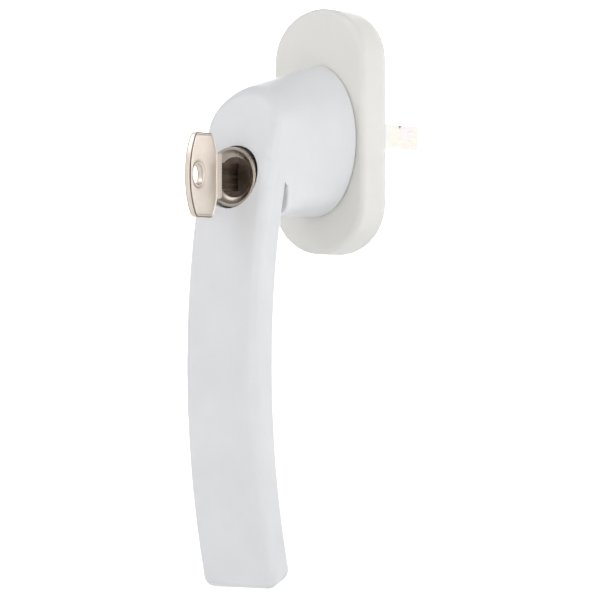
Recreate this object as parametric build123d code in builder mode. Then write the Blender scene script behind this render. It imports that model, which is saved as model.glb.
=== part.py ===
from build123d import *
import os
from math import cos, pi, sin, radians, sqrt

os.makedirs("parts", exist_ok=True)

# Lockable window handle on an oval rosette, in millimetres.
# X runs to the right, Y into the window, Z up.
# The origin is on the spindle's axis, at the rosette's back face.
# Plane.XZ looks into the room, so Plane.XZ.offset(d) lies d in front of the back face, at y = -d.
# Names that end in _start, _front or _floor are distances in front of that face.

# ---- rosette
rosette_width = 32.0
rosette_height = 70.0
rosette_depth = 10.6
rosette_end_rise = 14.5
cap_wall = 1.3
cap_edge_radius = 1.8
screw_pitch = 43.0
screw_hole_diameter = 5.3
screw_head_diameter = 10.2
screw_seat_thickness = 3.2
boss_diameter = 10.0
boss_length = 4.5

# ---- spindle and the grip's bearing
spindle_size = 7.0
spindle_out = 35.0
spindle_inside = 32.0
spindle_edge_chamfer = 0.5
nick_back = 25.0
nick_width = 2.0
nick_depth = 1.1
core_radius = 6.2
core_start = 0.3
bush_wall = 1.0
hub_wall = 1.0
hub_lip = 0.2
pin_diameter = 2.0
pin_depth = 7.5

# ---- quarter-turn clicks, in a pocket in the back of the base plate
pocket_play = 0.8
cam_flats = 17.0
cam_corner_rise = 1.1
cam_thickness = 2.1
ring_inset = 0.3
ring_thickness = 0.8
ring_groove_depth = 0.6
ring_collar = 2.2
ring_opening = 5.0
washer_thickness = 0.7
spring_length = 15.0
spring_thickness = 0.45
spring_bow = 2.2
spring_play = 0.6

# ---- neck: an oval at the rosette that becomes the lever's rounded top
neck_gap = 0.2
neck_foot_width = 27.4
neck_foot_top = 18.7
neck_foot_bottom = 24.3
neck_front = 42.5
neck_front_inset = 0.15
neck_front_top = 10.6
neck_front_bottom = 25.0
neck_front_shoulder = 1.2
neck_front_squareness = 8.0
neck_cavity_play = 0.4
neck_cavity_depth = 4.5

# ---- lever: a flat bar bowed to one radius, its front and rear faces concentric
lever_width = 25.0
lever_thickness = 9.2
lever_end = 128.6
lever_end_rise = 3.8
lever_bow_radius = 224.0
lever_bow_level = 66.0
lever_front_bow = 56.5
lever_front_radius = 2.8
lever_rear_radius = 2.0
lever_corner_radius = 3.4
crotch_level = 17.1
crotch_front = 41.3
crotch_back = 40.2
crotch_opening = 21.0

# ---- lock
lock_level = 14.6
lock_hole_diameter = 17.4
flange_diameter = 16.6
flange_front = 50.9
flange_thickness = 2.0
dish_depth = 1.6
dish_rim = 0.9
flange_edge = 0.25
housing_radius = 7.5
housing_end_wall = 2.0
plug_radius = 5.5
tail_radius = 3.0
tail_head = 2.6
clip_thickness = 0.7
clip_radius = 4.2
clip_play = 0.4
lock_boss_radius = 9.6
lock_boss_front = 46.4
lock_boss_depth = 12.0
wafer_count = 5
wafer_pitch = 4.0
wafer_first = 29.0
wafer_thickness = 1.0
wafer_inset = 0.3
wafer_tab_inset = 0.8
wafer_tab_length = 1.5
wafer_tab_height = 0.8
wafer_spring_radius = 0.5
wafer_spring_length = 2.2
clip_groove_depth = 0.6
clip_opening = 2.6
gasket_thickness = 0.6
gasket_wall = 1.2
set_screw_radius = 1.5
set_screw_place = 28.0
set_screw_socket = 1.5

# ---- lock bolt and the notched ring that it drops into
bolt_throw_radius = 1.8
bolt_tip_width = 5.0
bolt_body_width = 8.4
bolt_thickness = 2.3
bolt_lift = 0.3
bolt_rest_clearance = 0.4
drive_pin_radius = 1.0
drive_pin_play = 0.15
notch_floor_wall = 0.75
notch_depth = 2.4
notch_side_play = 0.2
guide_lift = 0.3
guide_thickness = 1.0
guide_width = 11.6
guide_gap = 0.8
guide_bottom = 22.0
guide_screw_radius = 0.7
guide_screw_head_radius = 1.1
guide_screw_head = 0.5
guide_screw_length = 4.0
guide_screw_spacing = 6.0
guide_screw_level = 20.8
bolt_tip_length = 2.2
bolt_bottom = 19.4

# ---- key
key_blade_height = 7.4
key_blade_thickness = 2.0
key_tip_start = 26.5
key_shoulder_front = 58.0
key_collar_length = 1.6
key_collar_height = 12.4
key_collar_thickness = 2.8
key_bow_height = 23.2
key_bow_base_height = 13.0
key_bow_shoulder = 60.1
key_bow_corner = 67.4
key_bow_front = 70.4
key_bow_thickness = 2.2
key_hole_front = 66.7
key_hole_width = 4.3
key_hole_height = 5.8
key_tip_chamfer = 1.6
key_first_cut = 3.0
key_cut_step = 0.45

# ---- clearances
running_clearance = 0.05
slide_clearance = 0.1
press_clearance = 0.02
open_clearance = 0.3

# ---- worked out: the stack in the rosette's back pocket
ring_start = core_start + ring_inset
cam_start = ring_start + ring_thickness
washer_start = cam_start + cam_thickness
pocket_depth = washer_start + washer_thickness + slide_clearance
cam_corner_radius = cam_flats / 2 + cam_corner_rise
pocket_radius = cam_corner_radius + pocket_play
spring_near = cam_flats / 2 + running_clearance
spring_pocket_end = spring_near + spring_bow + spring_thickness + spring_play
ring_outer_radius = core_radius + ring_collar

# ---- worked out: bearing, guide plate and bolt, outwards from the neck's foot
base_front = rosette_depth - cap_wall
neck_foot = rosette_depth + neck_gap
bush_radius = core_radius + running_clearance + bush_wall
hub_radius = bush_radius + hub_wall
notch_floor_radius = hub_radius + notch_floor_wall
notch_ring_radius = notch_floor_radius + notch_depth
neck_cavity_radius = notch_ring_radius + neck_cavity_play
cavity_end = neck_foot + neck_cavity_depth
guide_start = neck_foot + guide_lift
bolt_start = guide_start + guide_thickness + bolt_lift
bolt_channel_end = bolt_start + bolt_thickness + slide_clearance
hub_reach = bolt_start + bolt_thickness + hub_lip
bolt_tip = notch_ring_radius + bolt_rest_clearance
guide_top = bolt_tip + guide_gap
key_turn_angle = 90
drive_pin_x = bolt_throw_radius * cos(radians(key_turn_angle / 2))
drive_pin_drop = bolt_throw_radius * sin(radians(key_turn_angle / 2))
drive_pin_end = bolt_start + slide_clearance

# ---- worked out: the lock, outwards from the bolt
tail_start = bolt_channel_end + open_clearance
housing_floor = tail_start + tail_head
clip_start = housing_floor + clip_play
housing_start = clip_start + clip_thickness + clip_play / 2
plug_start = housing_start + housing_end_wall
housing_front = flange_front - flange_thickness
dish_floor = flange_front - dish_depth
wafer_width = 2 * (plug_radius - wafer_tab_inset - wafer_tab_length)
wafer_height = 2 * sqrt((plug_radius - wafer_inset) ** 2 - (wafer_width / 2) ** 2)
guide_screw_places = [(side * guide_screw_spacing / 2, -guide_screw_level) for side in (1, -1)]
wafer_places = [wafer_first + i * wafer_pitch for i in range(wafer_count)]
key_cuts = [key_blade_height / 2 - key_first_cut + i * key_cut_step for i in range(wafer_count)]


def oval(inset):
    """Rosette outline: straight sides between two half ellipses, all moved in by inset."""
    straight = rosette_height - 2 * rosette_end_rise
    Rectangle(rosette_width - 2 * inset, straight)
    with Locations((0, straight / 2), (0, -straight / 2)):
        Ellipse(rosette_width / 2 - inset, rosette_end_rise - inset)


def neck_outline(half_width, top, bottom, level, lower_power):
    """Neck section: half an ellipse above its widest level, half a squarer superellipse below."""
    points = []
    steps = 28
    for i in range(steps):
        turn = 2 * pi * i / steps
        c, s = cos(turn), sin(turn)
        power = 2.0 if s >= 0 else lower_power
        rise = top - level if s >= 0 else bottom + level
        x = half_width * abs(c) ** (2 / power) * (1 if c >= 0 else -1)
        z = level + rise * abs(s) ** (2 / power) * (1 if s >= 0 else -1)
        points.append((x, z))
    Spline(*points, periodic=True)


def bow_point(radius, level):
    """Point of the lever's side profile, on an arc of this radius about the bow's centre."""
    centre = lever_bow_radius - lever_front_bow
    return (centre - sqrt(radius ** 2 - (level + lever_bow_level) ** 2), level)


def lock_plane(distance):
    """Plane across the lock's axis, this far in front of the rosette's back face."""
    return Plane(origin=(0, -distance, -lock_level), x_dir=(1, 0, 0), z_dir=(0, -1, 0))


def write(piece, name):
    piece.part.label = name
    export_step(piece.part, f"parts/{name}.step")


# ---------------------------------------------------------------- rosette
with BuildPart() as rosette_cap:
    with BuildSketch(Plane.XZ):
        oval(0)
    extrude(amount=rosette_depth)
    fillet(rosette_cap.faces().sort_by(Axis.Y)[0].edges(), cap_edge_radius)
    with BuildSketch(Plane.XZ):
        oval(cap_wall)
    extrude(amount=base_front, mode=Mode.SUBTRACT)
    with BuildSketch(Plane.XZ):
        Circle(hub_radius + open_clearance)
    extrude(amount=rosette_depth, mode=Mode.SUBTRACT)
write(rosette_cap, "rosette_cap")

with BuildPart() as base_plate:
    with BuildSketch(Plane.XZ):
        oval(cap_wall)
    extrude(amount=base_front)
    with BuildSketch(Plane.XZ):
        Circle(hub_radius)
    extrude(amount=hub_reach)
    with BuildSketch(Plane.XZ):
        with Locations((0, screw_pitch / 2), (0, -screw_pitch / 2)):
            Circle(boss_diameter / 2)
    extrude(amount=-boss_length)
    with BuildSketch(Plane.XZ.offset(-boss_length)):
        with Locations((0, screw_pitch / 2), (0, -screw_pitch / 2)):
            Circle(screw_hole_diameter / 2)
    extrude(amount=boss_length + base_front, mode=Mode.SUBTRACT)
    with BuildSketch(Plane.XZ.offset(screw_seat_thickness)):
        with Locations((0, screw_pitch / 2), (0, -screw_pitch / 2)):
            Circle(screw_head_diameter / 2)
    extrude(amount=base_front - screw_seat_thickness, mode=Mode.SUBTRACT)
    with BuildSketch(Plane.XZ):
        Circle(bush_radius)
    extrude(amount=hub_reach, mode=Mode.SUBTRACT)
    with BuildSketch(Plane.XZ):
        Circle(pocket_radius)
        Rectangle(spring_length + 2 * open_clearance, 2 * spring_pocket_end)
    extrude(amount=pocket_depth, mode=Mode.SUBTRACT)
write(base_plate, "base_plate")

with BuildPart() as bearing_bush:
    with BuildSketch(Plane.XZ.offset(pocket_depth)):
        Circle(bush_radius)
        Circle(core_radius + running_clearance, mode=Mode.SUBTRACT)
    extrude(amount=hub_reach - pocket_depth)
write(bearing_bush, "bearing_bush")

for side, place in ((1, "upper"), (-1, "lower")):
    with BuildPart() as detent_spring:
        near = side * spring_near
        far = near + side * spring_bow
        leaf = side * spring_thickness
        half = spring_length / 2
        with BuildSketch(Plane.XZ.offset(cam_start)):
            with BuildLine():
                inner = ThreePointArc((-half, far), (0, near), (half, far))
                outer = ThreePointArc((-half, far + leaf), (0, near + leaf), (half, far + leaf))
                Line(inner @ 0, outer @ 0)
                Line(inner @ 1, outer @ 1)
            make_face()
        extrude(amount=cam_thickness)
    write(detent_spring, f"detent_spring_{place}")

with BuildPart() as notch_ring:
    with BuildSketch(Plane.XZ.offset(bolt_start)):
        Circle(notch_ring_radius)
        with PolarLocations(notch_ring_radius, 4):
            Rectangle(2 * notch_depth, bolt_tip_width + 2 * notch_side_play, mode=Mode.SUBTRACT)
        Circle(hub_radius, mode=Mode.SUBTRACT)
    extrude(amount=bolt_thickness)
write(notch_ring, "notch_ring")

# ---------------------------------------------------------------- grip
with BuildPart() as grip:
    # lever: a bowed side profile, cut to the front outline
    rear_radius = lever_bow_radius - lever_thickness
    with BuildSketch(Plane.YZ):
        with BuildLine():
            blank_top = neck_front_top + lever_thickness
            front = ThreePointArc(bow_point(lever_bow_radius, blank_top),
                                  bow_point(lever_bow_radius, -lever_bow_level),
                                  bow_point(lever_bow_radius, -lever_end))
            rear = ThreePointArc(bow_point(rear_radius, blank_top), bow_point(rear_radius, -lever_bow_level),
                                 bow_point(rear_radius, lever_end_rise - lever_end))
            Line(front @ 0, rear @ 0)
            Line(front @ 1, rear @ 1)
        make_face()
    extrude(amount=rosette_width, both=True)
    with BuildSketch(Plane.XZ):
        with BuildLine():
            arch = EllipticalCenterArc((0, -neck_front_shoulder), lever_width / 2,
                                       neck_front_top + neck_front_shoulder, start_angle=0, arc_size=180)
            Polyline(arch @ 0, (lever_width / 2, -lever_end), (-lever_width / 2, -lever_end), arch @ 1)
        make_face()
    extrude(amount=2 * lever_front_bow, mode=Mode.INTERSECT)
    fillet(grip.faces().sort_by(Axis.Z)[0].edges().filter_by(Axis.X, reverse=True), lever_corner_radius)
    fillet(grip.faces().sort_by(SortBy.AREA)[-2:].sort_by(Axis.Y)[0].edges(), lever_front_radius)
    fillet(grip.faces().sort_by(SortBy.AREA)[-2:].sort_by(Axis.Y)[-1].edges(), lever_rear_radius)
    # neck: from the oval foot to the lever's top, hollow behind the crotch's two side notches
    with BuildPart(mode=Mode.PRIVATE) as neck:
        with BuildSketch(Plane.XZ.offset(neck_foot)):
            with BuildLine():
                foot_level = (neck_foot_top - neck_foot_bottom) / 2
                neck_outline(neck_foot_width / 2, neck_foot_top, neck_foot_bottom, foot_level, 2.0)
            make_face()
        with BuildSketch(Plane.XZ.offset(neck_front)):
            with BuildLine():
                neck_outline(lever_width / 2 - neck_front_inset, neck_front_top - neck_front_inset,
                             neck_front_bottom, -neck_front_shoulder, neck_front_squareness)
            make_face()
        loft()
        with BuildSketch(Plane.YZ):
            with BuildLine():
                Polyline((-crotch_front, -crotch_level), (-crotch_back, -neck_front_bottom),
                         (-crotch_back, -rosette_height), (-lever_front_bow, -rosette_height),
                         (-lever_front_bow, -crotch_opening),
                         bow_point(rear_radius + neck_front_inset, -crotch_opening), close=True)
            make_face()
        extrude(amount=rosette_width, both=True, mode=Mode.SUBTRACT)
    add(neck.part)
    # lock boss that fills the middle of the crotch
    with BuildSketch(lock_plane(lock_boss_front)):
        Circle(lock_boss_radius)
    extrude(amount=-lock_boss_depth)
    # foot cavity round the core
    with BuildSketch(Plane.XZ.offset(neck_foot)):
        Circle(neck_cavity_radius)
    extrude(amount=neck_cavity_depth, mode=Mode.SUBTRACT)
    with BuildSketch(Plane.XZ.offset(core_start)):
        Circle(core_radius)
    extrude(amount=cavity_end - core_start)
    # retaining ring groove
    with BuildSketch(Plane.XZ.offset(ring_start)):
        Circle(core_radius)
        Circle(core_radius - ring_groove_depth, mode=Mode.SUBTRACT)
    extrude(amount=ring_thickness, mode=Mode.SUBTRACT)
    # square spindle hole and its cross pin hole
    with BuildSketch(Plane.XZ):
        Rectangle(spindle_size + 2 * press_clearance, spindle_size + 2 * press_clearance)
    extrude(amount=spindle_inside + open_clearance, mode=Mode.SUBTRACT)
    with BuildSketch(Plane.YZ):
        with Locations((-pin_depth, 0)):
            Circle(pin_diameter / 2)
    extrude(amount=core_radius, both=True, mode=Mode.SUBTRACT)
    # lock bore, its flange seat and the hole for the plug's tail
    with BuildSketch(lock_plane(housing_floor)):
        Circle(housing_radius + press_clearance)
    extrude(amount=flange_front, mode=Mode.SUBTRACT)
    with BuildSketch(lock_plane(housing_front - gasket_thickness)):
        Circle(lock_hole_diameter / 2)
    extrude(amount=flange_front, mode=Mode.SUBTRACT)
    with BuildSketch(lock_plane(neck_foot)):
        Circle(tail_radius + slide_clearance)
    extrude(amount=housing_floor - neck_foot, mode=Mode.SUBTRACT)
    # bolt channel and the recess for its guide plate, both open to the foot
    with BuildSketch(Plane.XZ.offset(neck_foot)):
        with Locations((0, -(core_radius + bolt_bottom + open_clearance) / 2)):
            Rectangle(bolt_body_width + 2 * slide_clearance, bolt_bottom + open_clearance - core_radius)
    extrude(amount=bolt_channel_end - neck_foot, mode=Mode.SUBTRACT)
    with BuildSketch(Plane.XZ.offset(neck_foot)):
        with Locations((0, -(guide_top + guide_bottom) / 2)):
            Rectangle(guide_width + 2 * slide_clearance, guide_bottom - guide_top + 2 * slide_clearance)
    extrude(amount=guide_start + guide_thickness - neck_foot, mode=Mode.SUBTRACT)
    with BuildSketch(Plane.XZ.offset(neck_foot)):
        with Locations(*guide_screw_places):
            Circle(guide_screw_radius)
    extrude(amount=guide_start + guide_screw_length + open_clearance - neck_foot, mode=Mode.SUBTRACT)
    # grub screw hole, up through the neck's underside
    with BuildSketch(Plane.XY.offset(-lock_level - housing_radius)):
        with Locations((0, -set_screw_place)):
            Circle(set_screw_radius)
    extrude(amount=-neck_front_bottom, mode=Mode.SUBTRACT)
write(grip, "grip")

with BuildPart() as spindle:
    with BuildSketch(Plane.XZ.offset(-spindle_out)):
        Rectangle(spindle_size, spindle_size)
    extrude(amount=spindle_out + spindle_inside)
    end_faces = spindle.faces().sort_by(Axis.Y)
    chamfer(end_faces[0].edges() + end_faces[-1].edges(), spindle_edge_chamfer)
    with BuildSketch(Plane.YZ):
        with BuildLine():
            Polyline((nick_back - nick_width / 2, spindle_size / 2),
                     (nick_back, spindle_size / 2 - nick_depth),
                     (nick_back + nick_width / 2, spindle_size / 2), close=True)
        make_face()
    extrude(amount=spindle_size, both=True, mode=Mode.SUBTRACT)
    with BuildSketch(Plane.YZ):
        with Locations((-pin_depth, 0)):
            Circle(pin_diameter / 2)
    extrude(amount=spindle_size, both=True, mode=Mode.SUBTRACT)
write(spindle, "spindle")

with BuildPart() as spindle_pin:
    with BuildSketch(Plane.YZ):
        with Locations((-pin_depth, 0)):
            Circle(pin_diameter / 2)
    extrude(amount=core_radius - ring_inset, both=True)
write(spindle_pin, "spindle_pin")

with BuildPart() as retaining_ring:
    with BuildSketch(Plane.XZ.offset(ring_start)):
        Circle(ring_outer_radius)
        Circle(core_radius - ring_groove_depth, mode=Mode.SUBTRACT)
        with Locations((core_radius, 0)):
            Rectangle(core_radius, ring_opening, mode=Mode.SUBTRACT)
    extrude(amount=ring_thickness)
write(retaining_ring, "retaining_ring")

with BuildPart() as detent_cam:
    with BuildSketch(Plane.XZ.offset(cam_start)):
        Rectangle(cam_flats, cam_flats)
        Circle(cam_corner_radius, mode=Mode.INTERSECT)
        Circle(core_radius, mode=Mode.SUBTRACT)
    extrude(amount=cam_thickness)
write(detent_cam, "detent_cam")

with BuildPart() as thrust_washer:
    with BuildSketch(Plane.XZ.offset(washer_start)):
        Circle(ring_outer_radius)
        Circle(core_radius, mode=Mode.SUBTRACT)
    extrude(amount=washer_thickness)
write(thrust_washer, "thrust_washer")

with BuildPart() as bolt_guide:
    with BuildSketch(Plane.XZ.offset(guide_start)):
        with Locations((0, -(guide_top + guide_bottom) / 2)):
            Rectangle(guide_width, guide_bottom - guide_top)
        with Locations(*guide_screw_places):
            Circle(guide_screw_radius, mode=Mode.SUBTRACT)
    extrude(amount=guide_thickness)
    with BuildSketch(Plane.XZ.offset(guide_start)):
        with Locations(*guide_screw_places):
            Circle(guide_screw_head_radius)
    extrude(amount=guide_screw_head, mode=Mode.SUBTRACT)
write(bolt_guide, "bolt_guide")

with BuildPart() as guide_screws:
    with BuildSketch(Plane.XZ.offset(guide_start)):
        with Locations(*guide_screw_places):
            Circle(guide_screw_head_radius)
    extrude(amount=guide_screw_head)
    with BuildSketch(Plane.XZ.offset(guide_start)):
        with Locations(*guide_screw_places):
            Circle(guide_screw_radius)
    extrude(amount=guide_screw_length)
write(guide_screws, "guide_screws")

# ---------------------------------------------------------------- lock housing, fixed in the grip
with BuildPart() as lock_housing:
    with BuildSketch(lock_plane(housing_start)):
        Circle(housing_radius)
    extrude(amount=flange_front - housing_start)
    with BuildSketch(lock_plane(housing_front)):
        Circle(flange_diameter / 2)
    extrude(amount=flange_thickness)
    chamfer(lock_housing.edges().group_by(Axis.Y)[0], flange_edge)
    with BuildSketch(lock_plane(dish_floor)):
        Circle(plug_radius + running_clearance)
    with BuildSketch(lock_plane(flange_front)):
        Circle(flange_diameter / 2 - dish_rim)
    loft(mode=Mode.SUBTRACT)
    with BuildSketch(lock_plane(plug_start - running_clearance)):
        Circle(plug_radius + running_clearance)
    extrude(amount=flange_front - plug_start, mode=Mode.SUBTRACT)
    with BuildSketch(lock_plane(housing_start)):
        Circle(tail_radius + running_clearance)
    extrude(amount=plug_start - housing_start, mode=Mode.SUBTRACT)
write(lock_housing, "lock_housing")

with BuildPart() as lock_gasket:
    with BuildSketch(lock_plane(housing_front - gasket_thickness)):
        Circle(lock_hole_diameter / 2)
        Circle(lock_hole_diameter / 2 - gasket_wall, mode=Mode.SUBTRACT)
    extrude(amount=gasket_thickness)
write(lock_gasket, "lock_gasket")

with BuildPart() as housing_screw:
    with BuildSketch(Plane.XY.offset(-lock_level - housing_radius)):
        with Locations((0, -set_screw_place)):
            Circle(set_screw_radius)
    extrude(amount=-(neck_foot_bottom - lock_level - housing_radius - open_clearance))
    with BuildSketch(Plane.XY.offset(-neck_foot_bottom)):
        with Locations((0, -set_screw_place)):
            RegularPolygon(set_screw_socket / 2, 6, major_radius=False)
    extrude(amount=set_screw_socket, mode=Mode.SUBTRACT)
write(housing_screw, "housing_screw")

# ---------------------------------------------------------------- plug and what turns with it
with BuildPart() as lock_plug:
    with BuildSketch(lock_plane(plug_start)):
        Circle(plug_radius)
    extrude(amount=dish_floor - plug_start)
    with BuildSketch(lock_plane(tail_start)):
        Circle(tail_radius)
    extrude(amount=plug_start - tail_start)
    with BuildSketch(lock_plane(clip_start)):
        Circle(tail_radius)
        Circle(tail_radius - clip_groove_depth, mode=Mode.SUBTRACT)
    extrude(amount=clip_thickness, mode=Mode.SUBTRACT)
    with BuildSketch(lock_plane(key_tip_start - open_clearance)):
        Rectangle(key_blade_thickness + 2 * slide_clearance, key_blade_height + 2 * slide_clearance)
    extrude(amount=dish_floor, mode=Mode.SUBTRACT)
    for place in wafer_places:
        with BuildSketch(lock_plane(place - wafer_thickness / 2 - press_clearance)):
            Rectangle(wafer_width + 2 * press_clearance, wafer_height + 2 * press_clearance)
            with Locations((wafer_width / 2 + wafer_tab_length / 2, wafer_tab_height / 2)):
                Rectangle(wafer_tab_length + 2 * press_clearance, wafer_tab_height + 2 * press_clearance)
        extrude(amount=wafer_thickness + 2 * press_clearance, mode=Mode.SUBTRACT)
        with BuildSketch(Plane.XY.offset(-lock_level)):
            with Locations((wafer_width / 2 + wafer_tab_length / 2, -place)):
                Circle(wafer_spring_radius)
        extrude(amount=-wafer_spring_length, mode=Mode.SUBTRACT)
    with BuildSketch(lock_plane(tail_start)):
        with Locations((drive_pin_x, -drive_pin_drop)):
            Circle(drive_pin_radius)
    extrude(amount=housing_floor - tail_start, mode=Mode.SUBTRACT)
write(lock_plug, "lock_plug")

for i, place in enumerate(wafer_places):
    with BuildPart() as wafer:
        with BuildSketch(lock_plane(place - wafer_thickness / 2)):
            Rectangle(wafer_width, wafer_height)
            with Locations((wafer_width / 2 + wafer_tab_length / 2, wafer_tab_height / 2)):
                Rectangle(wafer_tab_length, wafer_tab_height)
            window_bottom = -key_blade_height / 2 - slide_clearance
            window_top = key_cuts[i] + slide_clearance
            window_width = key_blade_thickness + 2 * slide_clearance
            with Locations((0, (window_bottom + window_top) / 2)):
                Rectangle(window_width, window_top - window_bottom, mode=Mode.SUBTRACT)
        extrude(amount=wafer_thickness)
    write(wafer, f"wafer_{i + 1}")

with BuildPart() as wafer_springs:
    for place in wafer_places:
        with BuildSketch(Plane.XY.offset(-lock_level)):
            with Locations((wafer_width / 2 + wafer_tab_length / 2, -place)):
                Circle(wafer_spring_radius - press_clearance)
        extrude(amount=-wafer_spring_length)
write(wafer_springs, "wafer_springs")

with BuildPart() as plug_clip:
    with BuildSketch(lock_plane(clip_start)):
        Circle(clip_radius)
        Circle(tail_radius - clip_groove_depth, mode=Mode.SUBTRACT)
        with Locations((-tail_radius, 0)):
            Rectangle(tail_radius, clip_opening, mode=Mode.SUBTRACT)
    extrude(amount=clip_thickness)
write(plug_clip, "plug_clip")

with BuildPart() as drive_pin:
    with BuildSketch(lock_plane(drive_pin_end)):
        with Locations((drive_pin_x, -drive_pin_drop)):
            Circle(drive_pin_radius)
    extrude(amount=housing_floor - drive_pin_end)
write(drive_pin, "drive_pin")

# ---------------------------------------------------------------- lock bolt, slides in the neck
with BuildPart() as lock_bolt:
    with BuildSketch(Plane.XZ.offset(bolt_start)):
        body_top = bolt_tip + bolt_tip_length
        with Locations((0, -(body_top + bolt_bottom) / 2)):
            Rectangle(bolt_body_width, bolt_bottom - body_top)
        with Locations((0, -(bolt_tip + bolt_bottom) / 2)):
            Rectangle(bolt_tip_width, bolt_bottom - bolt_tip)
        slot_reach = drive_pin_radius + drive_pin_play
        slot_width = bolt_throw_radius - drive_pin_x + 2 * slot_reach
        with Locations((drive_pin_x - slot_reach + slot_width / 2, -lock_level - drive_pin_drop)):
            Rectangle(slot_width, 2 * slot_reach, mode=Mode.SUBTRACT)
    extrude(amount=bolt_thickness)
write(lock_bolt, "lock_bolt")

# ---------------------------------------------------------------- key
with BuildPart() as key:
    half_blade = key_blade_height / 2
    steps = [(-key_tip_start, -half_blade + key_tip_chamfer), (-key_tip_start, key_cuts[0])]
    for i in range(wafer_count - 1):
        step_front = wafer_places[i] + wafer_pitch / 2
        steps += [(-step_front, key_cuts[i]), (-step_front, key_cuts[i + 1])]
    last_step = wafer_places[-1] + wafer_pitch / 2
    steps += [(-last_step, key_cuts[-1]), (-last_step - key_tip_chamfer, half_blade)]
    with BuildSketch(Plane.YZ.shift_origin((0, 0, -lock_level))):
        with BuildLine():
            Polyline(*steps, (-key_bow_shoulder, half_blade), (-key_bow_shoulder, -half_blade),
                     (-key_tip_start - key_tip_chamfer, -half_blade), close=True)
        make_face()
    extrude(amount=key_blade_thickness / 2, both=True)
    with BuildSketch(Plane.YZ.shift_origin((0, 0, -lock_level))):
        with BuildLine():
            front_edge = ThreePointArc((-key_bow_corner, key_bow_height / 2), (-key_bow_front, 0),
                                       (-key_bow_corner, -key_bow_height / 2))
            Polyline(front_edge @ 1, (-key_bow_shoulder, -key_bow_height / 2),
                     (-key_shoulder_front, -key_bow_base_height / 2),
                     (-key_shoulder_front, key_bow_base_height / 2),
                     (-key_bow_shoulder, key_bow_height / 2), front_edge @ 0)
        make_face()
        with Locations((-key_hole_front, 0)):
            Ellipse(key_hole_width / 2, key_hole_height / 2, mode=Mode.SUBTRACT)
    extrude(amount=key_bow_thickness / 2, both=True)
    with BuildSketch(Plane.YZ.shift_origin((0, 0, -lock_level))):
        with Locations((-key_shoulder_front + key_collar_length / 2, 0)):
            Rectangle(key_collar_length, key_collar_height)
    extrude(amount=key_collar_thickness / 2, both=True)
write(key, "key")
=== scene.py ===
import bpy
import numpy as np
from math import radians
from mathutils import Euler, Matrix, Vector


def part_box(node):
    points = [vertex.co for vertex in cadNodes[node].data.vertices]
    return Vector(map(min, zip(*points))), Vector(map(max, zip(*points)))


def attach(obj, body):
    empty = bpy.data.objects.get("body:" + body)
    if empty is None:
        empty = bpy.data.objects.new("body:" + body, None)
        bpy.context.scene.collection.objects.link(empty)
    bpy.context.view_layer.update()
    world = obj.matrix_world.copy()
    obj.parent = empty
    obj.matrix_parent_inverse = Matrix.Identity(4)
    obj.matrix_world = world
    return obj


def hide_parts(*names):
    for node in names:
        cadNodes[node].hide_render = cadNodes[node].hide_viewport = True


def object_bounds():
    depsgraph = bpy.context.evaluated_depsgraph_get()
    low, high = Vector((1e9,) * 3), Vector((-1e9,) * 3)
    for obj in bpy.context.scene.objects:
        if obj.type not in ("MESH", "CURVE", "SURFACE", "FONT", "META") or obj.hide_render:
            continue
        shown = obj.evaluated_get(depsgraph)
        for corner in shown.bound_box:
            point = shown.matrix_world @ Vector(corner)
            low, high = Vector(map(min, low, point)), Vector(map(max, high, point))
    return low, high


# A white lockable window handle: metres, X right, Y into the window, Z up
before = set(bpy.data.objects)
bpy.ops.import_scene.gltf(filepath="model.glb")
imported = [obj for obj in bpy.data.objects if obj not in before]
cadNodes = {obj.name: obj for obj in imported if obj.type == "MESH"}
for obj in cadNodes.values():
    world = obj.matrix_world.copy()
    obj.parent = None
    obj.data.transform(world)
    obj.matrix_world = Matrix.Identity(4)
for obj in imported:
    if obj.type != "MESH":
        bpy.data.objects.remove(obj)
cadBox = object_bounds()
mm = 0.001
print("frame loaded:", len(cadNodes), "pieces")


def gridMesh(name, points, loop=(False, True), poles=(False, False)):
    # points is rows x columns x 3; neighbours are joined to quads
    # a loop closes rows or columns on themselves
    # a pole closes the first or last row to its own middle
    rows, cols = points.shape[:2]
    index = np.arange(rows * cols).reshape(rows, cols)
    a = np.vstack([index, index[:1]]) if loop[0] else index
    a = np.hstack([a, a[:, :1]]) if loop[1] else a
    quads = np.stack([a[:-1, :-1], a[:-1, 1:], a[1:, 1:], a[1:, :-1]], -1).reshape(-1, 4)
    verts = points.reshape(-1, 3)
    faces = quads.tolist()
    for isPole, row, turn in ((poles[0], 0, 1), (poles[1], rows - 1, -1)):
        if isPole:
            ring = index[row]
            nextOne = np.roll(ring, -1)
            middle = np.full(cols, len(verts))
            verts = np.vstack([verts, points[row].mean(0)])
            faces += np.stack([middle, nextOne, ring][::turn], -1).tolist()
    mesh = bpy.data.meshes.new(name)
    mesh.from_pydata(verts.tolist(), [], faces)
    mesh.shade_smooth()
    return mesh


def gridPiece(name, points, material, body, stands=(), loop=(False, True), poles=(False, False),
              hollowShade=None):
    # the last argument, from 0 to 1 at each point, is painted shade laid into grooves and hollows
    mesh = gridMesh(name, points, loop, poles)
    paintedShade = np.zeros(len(mesh.vertices), np.float32)
    if hollowShade is not None:
        paintedShade[:hollowShade.size] = hollowShade.ravel()
    mesh.attributes.new("hollowShade", "FLOAT", "POINT").data.foreach_set("value", paintedShade)
    piece = bpy.data.objects.new(name, mesh)
    bpy.context.scene.collection.objects.link(piece)
    mesh.materials.append(material)
    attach(piece, body)
    if stands:
        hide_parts(*stands)
    return piece


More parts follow.
